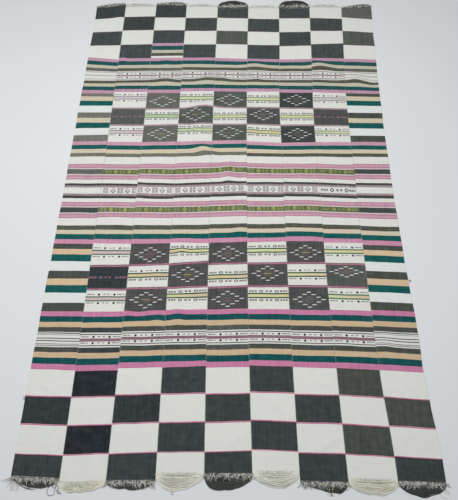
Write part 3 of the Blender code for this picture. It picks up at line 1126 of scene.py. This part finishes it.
END_YARN = 1.5 * MM              # and of one warp end
FRINGE_FLOOR = 0.1 * MM
FRINGE_SEED = 500


def edge_y(strip, far, share):
    """y of the woven end at a share of the strip's width."""
    return pick_y(strip, ANCHORS[strip][0 if far else -1][1], share)


def off_edge(strip, far, share, past, height):
    """A point past the woven end."""
    edge = edge_y(strip, far, share)
    y = edge + past if far else edge - past
    return Vector((across_strip(strip, edge, min(1.0, max(0.0, share))), y, height))


def loop_hang(share, deepest_at, fullness):
    from_root = share / deepest_at if share < deepest_at else (1 - share) / (1 - deepest_at)
    return (1 - (1 - min(1.0, max(0.0, from_root))) ** fullness) ** (1 / fullness)


def hang_loops(yarns, strip, far, dyes, painted_shadow_range, rng):
    """Slack turns of weft that hang one below another from both sides of the strip, over a layer of the same
    yarn that is darkened as painted shadow under them.
    """
    depth, deepest_at, fullness = (FAR_LOOPS if far else NEAR_LOOPS)[strip]
    count = max(5, round(depth * MM / LOOP_STEP))
    drift = rng.uniform(0, 40)
    for number in range(2 * count):
        under = number < count
        order = (number % count + (0.1 if under else 0.6)) / count
        level = between(0.03, 0.97, min(1.0, order)) + rng.uniform(-0.015, 0.015)
        root = between(*LOOP_ROOTS, order) * rng.uniform(0.7, 1.25)
        deepest = min(0.85, max(0.15, deepest_at + rng.uniform(-0.05, 0.05)))
        phase = rng.uniform(0, 40)
        base = (UNDER_HEIGHT if under else between(*LOOP_HEIGHTS, order) + rng.uniform(0, 0.9)) * MM
        path = []
        for step in range(LOOP_POINTS):
            turn = (1 - math.cos(math.pi * step / (LOOP_POINTS - 1))) / 2
            hang = 0 if step in (0, LOOP_POINTS - 1) else ROOT_HANG
            past = depth * MM * level * between(hang, 1, loop_hang(turn, deepest, fullness))
            wave = noise.noise(Vector((turn * WAVES_ALONG[0] + drift, order * 2.2, 0)))
            kink = noise.noise(Vector((turn * WAVES_ALONG[1] + phase, number * 2.9, 4)))
            held = min(1.0, 4 * turn, 4 * (1 - turn))
            past += held * (LOOP_WAVE * wave * min(1.0, 2 * order) + LOOP_KINK * kink) * MM
            point = off_edge(strip, far, between(root, 1 - root, turn), max(past, -2 * MM), 0)
            point.z = max(FRINGE_FLOOR + YARN / 2, base + held * 0.9 * kink * MM)
            path.append(point)
        # The under layer takes the darker range of shades, as painted shadow beneath the loops
        dye = shaded(rng.choice(dyes), *(painted_shadow_range if under else (0.8, 1.15)), rng)
        thick = YARN * (1.25 if under else rng.uniform(0.75, 1.1))
        yarns.add(path, [thick] * LOOP_POINTS, [thick * 0.85] * LOOP_POINTS, [dye] * LOOP_POINTS)


END_STEPS = 8


def comb_ends(yarns, strip, far, count, length, dyes, height, rng, zone=(0.02, 0.98)):
    """Short warp ends that stand out of the woven edge, each with a curl of its own."""
    outward = 1 if far else -1
    for number in range(count):
        share = (number + rng.uniform(0.15, 0.85)) / count
        share = between(*zone, share)
        point = off_edge(strip, far, share, -1.5 * MM, CLOTH_THICKNESS * rng.uniform(0.5, 0.9))
        reach = rng.uniform(*length) * MM
        heading = rng.gauss(0, 0.4)
        curl = rng.gauss(0, 0.6)
        top = height * rng.uniform(0.6, 1.2)
        path = [point]
        for step in range(1, END_STEPS):
            heading = max(-1.3, min(1.3, heading + curl * 0.3 + rng.uniform(-0.38, 0.38)))
            stride = reach / (END_STEPS - 1)
            point = point + Vector((math.sin(heading) * stride, outward * math.cos(heading) * stride, 0))
            rise = math.sin(math.pi * min(1.0, step / END_STEPS * 1.15))
            point.z = max(FRINGE_FLOOR + END_YARN / 2, top * rise + 1.2 * MM)
            path.append(point)
        dye = shaded(rng.choice(dyes), 0.8, 1.05, rng)
        widths = [END_YARN] * (END_STEPS - 2) + [END_YARN * 0.85, END_YARN * 0.5]
        yarns.add(path, widths, widths, [dye] * END_STEPS)


GAP_ROWS = (-3, 2, 7, 12, 17)    # how far past a white strip's woven end its rows of gaps lie, in mm
GAP_STEP = 6.5 * MM
GAP_ZONE = (0.12, 0.88)
GAP_HEIGHT = 4.4 * MM


def dot_gaps(yarns, strip, far, rng):
    """Small grey marks of painted shade in the gaps between the warp ends, where the weave loosens into the
    slack weft.
    """
    low, high = GAP_ZONE
    count = round((high - low) * strip_width(strip) / GAP_STEP)
    for row, past in enumerate(GAP_ROWS):
        for number in range(count):
            if rng.random() < 0.15 + 0.12 * row:
                continue
            share = between(low, high, (number + 0.5 * (row % 2) + rng.uniform(-0.2, 0.2)) / count)
            start = off_edge(strip, far, share, (past + rng.uniform(-0.8, 0.8)) * MM, 0)
            start.z = lift(start.x, start.y) + CLOTH_THICKNESS if past < 0 else GAP_HEIGHT
            length = rng.uniform(2.0, 3.4) * MM
            slant = rng.uniform(-0.5, 0.5) * MM
            path = [start + Vector((length * part, slant * part, 0)) for part in (0, 0.5, 1)]
            # Grey or sage marks stand in for the shade inside each gap, as painted shade
            dye = shaded("sage_line" if rng.random() < 0.3 else "grey_line", 0.7, 1.1, rng)
            yarns.add(path, [1.0 * MM, 1.8 * MM, 1.0 * MM], [0.5 * MM, 0.9 * MM, 0.5 * MM], [dye] * 3)


# Single threads that the photo shows: the fringe they belong to, dye, thickness in mm, and points in mm
STRAYS = (
    ("near_1", "ink", 1.4,
     ((-582, -1176), (-590, -1192), (-600, -1208), (-596, -1222), (-584, -1226), (-573, -1221))),
    ("near_1", "ink", 1.6, ((-590, -1172), (-578, -1190), (-570, -1206), (-560, -1214), (-549, -1222))),
    ("near_1", "ink_brown", 1.4, ((-586, -1180), (-570, -1192), (-562, -1206), (-566, -1216), (-556, -1220))),
    ("near_1", "ink", 1.5, ((-600, -1178), (-584, -1196), (-574, -1210), (-576, -1218))),
    ("near_1", "ink", 1.5, ((-728, -1160), (-716, -1176), (-700, -1190), (-680, -1200), (-655, -1206))),
    ("near_1", "ink", 1.5, ((-726, -1166), (-710, -1184), (-690, -1197), (-664, -1206), (-640, -1208))),
    ("near_4", "ink_brown", 1.2, ((-184, -1200), (-179, -1209), (-183, -1216), (-178, -1220))),
    ("near_7", "cream", 2.6, ((336, -1184), (341, -1196), (339, -1208), (343, -1220))),
    ("near_7", "ink_brown", 2.4, ((340, -1186), (346, -1198), (345, -1209), (349, -1219))),
    ("near_7", "cream", 2.4, ((345, -1186), (351, -1197), (349, -1210), (354, -1220))),
    ("near_7", "cream", 2.0, ((331, -1184), (335, -1196), (333, -1207), (336, -1219))),
    ("near_7", "ink", 1.6, ((352, -1180), (364, -1196), (376, -1208), (388, -1196), (398, -1180))),
    ("near_9", "cream", 1.1, ((682, -1184), (694, -1198), (703, -1210), (714, -1219), (724, -1222))),
    ("near_9", "cream", 1.1, ((696, -1182), (708, -1194), (722, -1204), (733, -1212), (738, -1222))),
    ("near_9", "yarn_grey", 1.0, ((704, -1180), (716, -1192), (726, -1198), (736, -1206))),
    ("near_9", "ink", 1.4, ((652, -1206), (647, -1213), (651, -1219), (657, -1215))),
    ("far_9", "ink_brown", 1.2, ((688, 1160), (692, 1170), (689, 1178), (694, 1184))),
    ("far_9", "yarn_grey", 1.1, ((694, 1160), (699, 1171), (703, 1180))),
)
TUFTS = (                       # small tufts at the selvedges: strip, x and y in mm, and which way they point
    (0, -731, -902, -1),
    (8, 711, -428, 1),
)
TUFT_THREADS = 5
TUFT_STEPS = 4
TUFT_STEP = 2.4 * MM
TUFT_THREAD, TUFT_TIP = 0.9 * MM, 0.5 * MM
TUFT_SEED = 71


def build_fringe(strip, far, made_of):
    """Everything loose at one end of a strip."""
    number = strip + 1
    name = f"{'far' if far else 'near'}_{number}"
    rng = random.Random(FRINGE_SEED + number * 2 + far)
    dark = number % 2 == 1
    yarns = Yarns()
    # The pairs (0.35, 0.6) and (0.55, 0.8) darken the under layer of loops, as painted shadow beneath them
    if dark:
        hang_loops(yarns, strip, far, ("ink", "ink", "ink_brown", "olive"), (0.35, 0.6), rng)
        longest = 50 if far and FAR_LOOPS[strip][0] > 50 else 34
        pale = ("cream", "yarn_white") if far else ("cream", "yarn_white", "pale", "grey_line")
        inky = ("ink", "ink_brown", "yarn_grey")
        comb_ends(yarns, strip, far, 62 if far else 125, (longest * 0.4, longest), pale, 5.2 * MM, rng)
        comb_ends(yarns, strip, far, 90 if far else 50, (8, 18), inky, 4.4 * MM, rng)
    else:
        slack = ("white", "yarn_white") if far else ("cream", "cream", "yarn_white")
        hang_loops(yarns, strip, far, slack, (0.55, 0.8), rng)
        comb_ends(yarns, strip, far, 130, (5, 14), ("cream", "yarn_white", "pale"), 2.6 * MM, rng)
        if not far:
            dot_gaps(yarns, strip, far, rng)
    if name == "near_1":
        comb_ends(yarns, strip, far, 22, (34, 54), ("pale", "white_worn"), 1.0 * MM, rng, (0.0, 0.3))
    for _, dye, thick, spots in (stray for stray in STRAYS if stray[0] == name):
        heights = [3.4] + [1.2 + 0.6 * (index % 2) for index in range(1, len(spots))]
        curve = smooth_path([Vector((x * MM, y * MM, z * MM)) for (x, y), z in zip(spots, heights)])
        sizes = [thick * MM] * (len(curve) - 1) + [thick * MM * 0.6]
        yarns.add(curve, sizes, sizes, [LINEAR[dye]] * len(curve))
    slot = "dark_yarn" if dark else "cream_yarn"
    new_piece(f"loose_yarn_{name}", yarns.mesh(f"loose_yarn_{name}"), made_of, slot, f"fringe_{name}")


def smooth_path(path, steps=4):
    """The points with a Catmull-Rom curve through them."""
    ends = [path[0] * 2 - path[1], *path, path[-1] * 2 - path[-2]]
    found = []
    for before, start, stop, after in zip(ends, ends[1:], ends[2:], ends[3:]):
        for step in range(steps):
            t = step / steps
            found.append(0.5 * (2 * start + (stop - before) * t
                                + (2 * before - 5 * start + 4 * stop - after) * t * t
                                + (3 * start - before - 3 * stop + after) * t ** 3))
    return [*found, path[-1].copy()]


def build_tufts(made_of):
    rng = random.Random(TUFT_SEED)
    yarns = Yarns()
    for strip, x, y, outward in TUFTS:
        dye = LINEAR["ink_brown" if strip else "yarn_grey"]
        for _ in range(TUFT_THREADS):
            point = Vector((x * MM - outward * 1.5 * MM, (y + rng.uniform(-3, 3)) * MM, 1.6 * MM))
            path = [point]
            heading = rng.uniform(-0.9, 0.9)
            for _ in range(TUFT_STEPS):
                heading += rng.uniform(-0.7, 0.7)
                point = point + Vector((outward * math.cos(heading), math.sin(heading), 0)) * TUFT_STEP
                point.z = max(0.6 * MM, point.z - 0.2 * MM)
                path.append(point)
            sizes = [TUFT_THREAD] * TUFT_STEPS + [TUFT_TIP]
            yarns.add(path, sizes, sizes, [dye] * len(path))
    new_piece("selvedge_tufts", yarns.mesh("selvedge_tufts"), made_of, "dark_yarn")


# Materials

class Nodes:
    """A small helper that adds nodes to one material."""

    def __init__(self, name, roughness, sheen):
        self.material = bpy.data.materials.new(name)
        self.material.use_nodes = True
        self.tree = self.material.node_tree
        self.shader = self.tree.nodes["Principled BSDF"]
        self.shader.inputs["Roughness"].default_value = roughness
        self.shader.inputs["Specular IOR Level"].default_value = 0.12
        self.shader.inputs["Sheen Weight"].default_value = sheen
        self.shader.inputs["Sheen Roughness"].default_value = 0.6

    def add(self, kind, inputs=(), **settings):
        node = self.tree.nodes.new(kind)
        for key, value in settings.items():
            setattr(node, key, value)
        for key, value in dict(inputs).items():
            if isinstance(value, bpy.types.NodeSocket):
                self.tree.links.new(value, node.inputs[key])
            else:
                node.inputs[key].default_value = value
        return node

    def math(self, operation, first, second=0.0, third=0.0):
        return self.add("ShaderNodeMath", {0: first, 1: second, 2: third}, operation=operation).outputs[0]

    def dye(self):
        return self.add("ShaderNodeAttribute", attribute_name="Dye").outputs["Color"]

    def place(self):
        """The two directions of the weave map, in metres."""
        split = self.add("ShaderNodeSeparateXYZ", {0: self.add("ShaderNodeUVMap", uv_map="Weave").outputs[0]})
        return split.outputs[0], split.outputs[1]

    def speckle(self, x, y, detail=2.0):
        """Noise between 0 and 1 at a place, in waves of about 1 unit."""
        vector = self.add("ShaderNodeCombineXYZ", {0: x, 1: y}).outputs[0]
        return self.add("ShaderNodeTexNoise", {"Vector": vector, "Scale": 1.0, "Detail": detail},
                        noise_dimensions="2D").outputs[0]

    def swing(self, value, amount):
        """A factor that swings either side of 1 by an amount."""
        return self.math("MULTIPLY_ADD", self.math("MULTIPLY_ADD", value, 2.0, -1.0), amount, 1.0)

    def scaled(self, colour, factor):
        return self.add("ShaderNodeVectorMath", {0: colour, "Scale": factor}, operation="SCALE").outputs[0]

    def mixed(self, factor, first, second):
        return self.add("ShaderNodeMix", {"Factor": factor, 6: first, 7: second}, data_type="RGBA").outputs[2]

    def bumped(self, height, strength, distance):
        bump = self.add("ShaderNodeBump", {"Height": height, "Strength": strength, "Distance": distance})
        self.tree.links.new(bump.outputs[0], self.shader.inputs["Normal"])

    def coloured(self, colour):
        self.tree.links.new(colour, self.shader.inputs["Base Color"])

    def ranged(self, value, low, high, to_low, to_high):
        """A value moved from one range to another, and held inside it."""
        limits = {"From Min": low, "From Max": high, "To Min": to_low, "To Max": to_high}
        return self.add("ShaderNodeMapRange", {"Value": value, **limits}).outputs[0]

    def roughened(self, value, low, high):
        self.tree.links.new(self.ranged(value, 0.0, 1.0, low, high), self.shader.inputs["Roughness"])


WARP_STEP = 1.6 * MM
WEFT_STEP = 1.1 * MM
WORN_COLOUR = (0.42, 0.42, 0.39, 1)
DARK_LIGHT = (0.08, 0.5)         # linear light of a dye that is wholly a dark one, and of one that is not

# Uneven yarn as streaks along the warp, lighter and darker picks of weft, and blotches: waves for each mm
# across and along, and how much they swing, more on dark dyes and least on undyed cotton
UNEVENNESS = (
    # across, along, more, least
    (0.11, 0.009, 0.36, 0.015),
    (0.02, 0.15, 0.16, 0.02),
    (0.03, 0.05, 0.05, 0.05),
)


def woven_cotton():
    """Weft-faced plain weave: dyed weft over pale warp, with uneven handspun yarn, worn, faded patches, and
    painted shade in the hollows of the weave.
    """
    nodes = Nodes("woven_cotton", roughness=0.88, sheen=0.03)
    across, along = (nodes.math("MULTIPLY", way, 1 / MM) for way in nodes.place())

    def streaks(waves_across, waves_along, detail):
        return nodes.speckle(nodes.math("MULTIPLY", across, waves_across),
                             nodes.math("MULTIPLY", along, waves_along), detail)

    # Plain weave: over and under by turns in both directions
    warp = nodes.math("SINE", nodes.math("MULTIPLY", across, math.pi * MM / WARP_STEP))
    weft = nodes.math("SINE", nodes.math("MULTIPLY", along, math.pi * MM / WEFT_STEP))
    weave = nodes.math("MULTIPLY", warp, weft)
    # The colour is a little darker where the weave dips, as painted shade in its hollows
    shade = nodes.math("MULTIPLY_ADD", weave, 0.05, 1.0)
    colour = nodes.dye()
    light = nodes.add("ShaderNodeRGBToBW", {0: colour}).outputs[0]
    dark = nodes.ranged(light, *DARK_LIGHT, 1.0, 0.0)
    for waves_across, waves_along, more, least in UNEVENNESS:
        blotches = streaks(waves_across, waves_along, 3.0)
        swing = nodes.swing(blotches, nodes.math("MULTIPLY_ADD", dark, more, least))
        shade = nodes.math("MULTIPLY", shade, swing)
    # Where the weft has rubbed thin the pale warp shows a little
    specks = streaks(0.45, 0.7, 2.0)
    worn = nodes.ranged(nodes.math("MULTIPLY", blotches, specks), 0.24, 0.5, 0.0, 0.06)
    nodes.coloured(nodes.mixed(worn, nodes.scaled(colour, shade), WORN_COLOUR))
    nodes.roughened(specks, 0.80, 0.97)
    nodes.bumped(nodes.math("MULTIPLY_ADD", specks, 0.8, weave), 0.35, 0.25 * MM)
    return nodes.material


TWIST_STEP = 2.2 * MM


def spun_yarn(name, strength, sheen):
    """Plied cotton yarn with its twist, whose grooves are darkened a little as painted shade."""
    nodes = Nodes(name, roughness=0.86, sheen=sheen)
    length, turn = nodes.place()
    along = nodes.math("MULTIPLY", length, 2 * math.pi / TWIST_STEP)
    around = nodes.math("MULTIPLY", turn, 2 * math.pi)
    twist = nodes.math("SINE", nodes.math("ADD", along, around))
    fuzz = nodes.speckle(nodes.math("MULTIPLY", length, 900.0), nodes.math("MULTIPLY", turn, 5.0), 2.0)
    # The twist darkens the colour a little in its grooves, as painted shade; the fuzz is the yarn's uneven tone
    shade = nodes.math("MULTIPLY", nodes.swing(fuzz, 0.10), nodes.math("MULTIPLY_ADD", twist, 0.05, 1.0))
    nodes.coloured(nodes.scaled(nodes.dye(), shade))
    nodes.roughened(fuzz, 0.78, 0.95)
    nodes.bumped(nodes.math("MULTIPLY_ADD", fuzz, 0.6, twist), strength, 0.2 * MM)
    return nodes.material


FLOOR_COLOUR = (0.72, 0.735, 0.75, 1)
FLOOR_HALF, FLOOR_CELLS = 7.0, 28
FLOOR_LEVEL = -0.2 * MM


def studio_floor():
    """Smooth pale floor with very faint clouds."""
    nodes = Nodes("studio_floor", roughness=0.7, sheen=0.0)
    place = nodes.add("ShaderNodeNewGeometry").outputs["Position"]
    clouds = nodes.add("ShaderNodeTexNoise", {"Vector": place, "Scale": 1.3, "Detail": 3.0}).outputs[0]
    base = nodes.add("ShaderNodeRGB").outputs[0]
    base.default_value = FLOOR_COLOUR
    nodes.coloured(nodes.scaled(base, nodes.swing(clouds, 0.03)))
    nodes.roughened(clouds, 0.62, 0.78)
    return nodes.material


# Stage

def build_floor():
    row_long = FLOOR_CELLS + 1
    stations = [between(-FLOOR_HALF, FLOOR_HALF, index / FLOOR_CELLS) for index in range(row_long)]
    points = [(x, y, FLOOR_LEVEL) for y in stations for x in stations]
    faces = [(a, a + 1, a + row_long + 1, a + row_long)
             for row in range(FLOOR_CELLS) for a in range(row * row_long, row * row_long + FLOOR_CELLS)]
    mesh = bpy.data.meshes.new("floor")
    mesh.from_pydata(points, [], faces)
    mesh.materials.append(studio_floor())
    floor = bpy.data.objects.new("floor", mesh)
    bpy.context.scene.collection.objects.link(floor)


CAMERA_PLACE = (0.03959, -1.41561, 2.0611)
CAMERA_DOWN, CAMERA_TURN, CAMERA_TILT = 1.072015, -0.037475, -0.030085     # radians
CAMERA_FOCAL = 575.0             # in pixels of the 458 x 500 photo
PHOTO_LONG_SIDE = 500.0
SENSOR = 36.0


def place_camera():
    level_share = math.cos(CAMERA_DOWN)
    ahead = Vector((math.sin(CAMERA_TURN) * level_share, math.cos(CAMERA_TURN) * level_share,
                    -math.sin(CAMERA_DOWN)))
    level = Vector((math.cos(CAMERA_TURN), -math.sin(CAMERA_TURN), 0))
    above = level.cross(ahead)
    right = level * math.cos(CAMERA_TILT) + above * math.sin(CAMERA_TILT)
    up = above * math.cos(CAMERA_TILT) - level * math.sin(CAMERA_TILT)
    data = bpy.data.cameras.new("camera")
    data.sensor_width = SENSOR
    data.sensor_fit = "AUTO"
    data.lens = CAMERA_FOCAL * SENSOR / PHOTO_LONG_SIDE
    data.clip_start, data.clip_end = 0.05, 60
    camera = bpy.data.objects.new("camera", data)
    bpy.context.scene.collection.objects.link(camera)
    turned = Matrix((right, up, -ahead)).transposed().to_4x4()
    camera.matrix_world = Matrix.Translation(CAMERA_PLACE) @ turned
    bpy.context.scene.camera = camera


LAMPS = (                        # name, place, size, watts, colour
    ("ceiling", (-0.15, 0.15, 2.8), 2.0, 64, (1.0, 0.99, 0.97)),
    ("window", (-2.3, 0.5, 1.6), 1.2, 7, (0.95, 0.97, 1.0)),
)


SKY_COLOUR = (0.93, 0.96, 1.0, 1)
SKY_STRENGTH = 0.34


def light_stage():
    for name, place, size, watts, colour in LAMPS:
        data = bpy.data.lights.new(name, "AREA")
        data.shape = "SQUARE"
        data.size = size
        data.energy = watts
        data.color = colour
        lamp = bpy.data.objects.new(name, data)
        lamp.location = place
        lamp.rotation_euler = (Vector((0, 0, 0)) - Vector(place)).to_track_quat("-Z", "Y").to_euler()
        bpy.context.scene.collection.objects.link(lamp)
    world = bpy.data.worlds.new("world")
    world.use_nodes = True
    sky = world.node_tree.nodes["Background"]
    sky.inputs["Color"].default_value = SKY_COLOUR
    sky.inputs["Strength"].default_value = SKY_STRENGTH
    bpy.context.scene.world = world
    bpy.context.scene.view_settings.view_transform = "Standard"


def main():
    cotton = woven_cotton()
    brocade_yarn = spun_yarn("brocade_yarn", 0.3, 0.03)
    sewing_thread = spun_yarn("sewing_thread", 0.25, 0.03)
    loose_yarn = spun_yarn("loose_yarn", 0.4, 0.1)
    for strip in range(STRIP_COUNT):
        build_strip(strip, cotton)
        if strip not in PLAIN_STRIPS:
            build_brocade(strip, brocade_yarn)
        build_fringe(strip, True, loose_yarn)
        build_fringe(strip, False, loose_yarn)
    rng = random.Random(STITCH_SEED)
    stitches = Yarns()
    for line in range(1, STRIP_COUNT):
        build_seam(line, stitches, rng)
    new_piece("seam_stitches", stitches.mesh("seam_stitches"), sewing_thread, "woven_cotton")
    build_tufts(loose_yarn)
    build_floor()
    place_camera()
    light_stage()


main()
